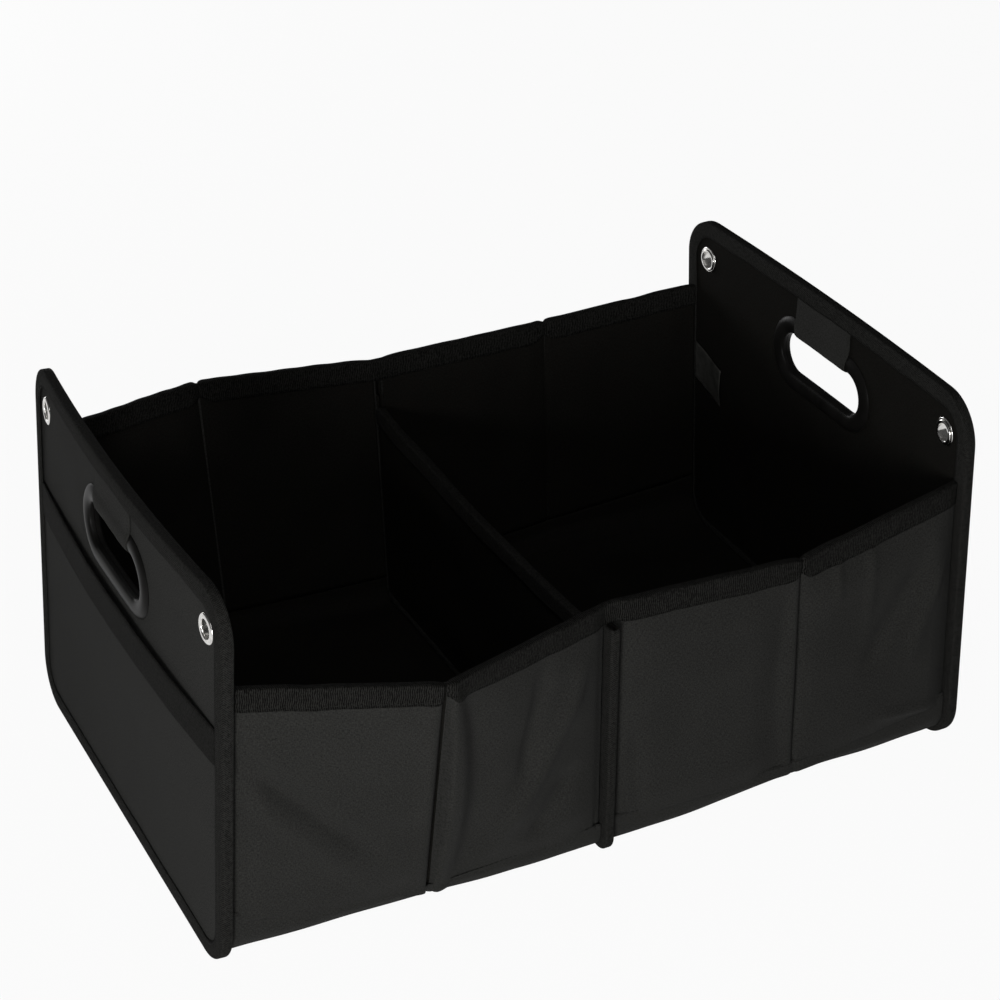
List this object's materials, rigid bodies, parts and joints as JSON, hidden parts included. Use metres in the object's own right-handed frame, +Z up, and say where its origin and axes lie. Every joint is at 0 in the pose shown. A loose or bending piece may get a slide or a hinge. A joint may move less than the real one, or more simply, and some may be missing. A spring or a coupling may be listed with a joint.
{
  "type": "car trunk organizer",
  "caption": "Open-top fabric trunk organizer with stiff handled end panels, outer end pockets, a middle divider and creased, board-stiffened cloth walls.",
  "frame": {"origin": "floor level under the middle of the divider, on the divider's flat foot", "axes": "+X along the length to the right end panel, +Y to the rear wall, +Z up"},
  "size_m": [0.554, 0.4381, 0.2703],
  "materials": {
    "cloth": "black coated polyester plain weave",
    "lining": "black polyester lining, matt",
    "webbing": "black ribbed binding tape",
    "stiffener": "plain stiffening board",
    "ring": "black moulded plastic, semi-gloss",
    "nickel": "bright nickel plate",
    "label": "bare satin label cloth"
  },
  "bodies": {
    "root": {"left_binding": "webbing", "left_outer_cover": "cloth", "left_board": "stiffener", "left_lining": "lining", "left_pocket": "cloth", "left_pocket_tape": "webbing", "left_handle_ring_outer": "ring", "left_handle_ring_inner": "ring", "left_handle_wrap": "cloth", "left_eyelet_front": "nickel", "left_eyelet_rear": "nickel", "left_washer_front": "nickel", "left_washer_rear": "nickel", "left_front_cover": "cloth", "left_front_board_end": "stiffener", "left_front_board_middle": "stiffener", "left_front_lining": "lining", "left_rear_cover": "cloth", "left_rear_board_end": "stiffener", "left_rear_board_middle": "stiffener", "left_rear_lining": "lining", "left_base_cover": "cloth", "left_base_board_end": "stiffener", "left_base_board_middle": "stiffener", "left_base_lining": "lining", "right_binding": "webbing", "right_outer_cover": "cloth", "right_board": "stiffener", "right_lining": "lining", "right_pocket": "cloth", "right_pocket_tape": "webbing", "right_handle_ring_outer": "ring", "right_handle_ring_inner": "ring", "right_handle_wrap": "cloth", "right_eyelet_front": "nickel", "right_eyelet_rear": "nickel", "right_washer_front": "nickel", "right_washer_rear": "nickel", "right_front_cover": "cloth", "right_front_board_end": "stiffener", "right_front_board_middle": "stiffener", "right_front_lining": "lining", "right_rear_cover": "cloth", "right_rear_board_end": "stiffener", "right_rear_board_middle": "stiffener", "right_rear_lining": "lining", "right_base_cover": "cloth", "right_base_board_end": "stiffener", "right_base_board_middle": "stiffener", "right_base_lining": "lining", "divider_binding": "webbing", "divider_cover_left": "lining", "divider_cover_right": "lining", "divider_board": "stiffener", "divider_top_tape": "webbing", "front_top_tape": "webbing", "rear_top_tape": "webbing", "care_label": "label"}
  },
  "joints": []
}
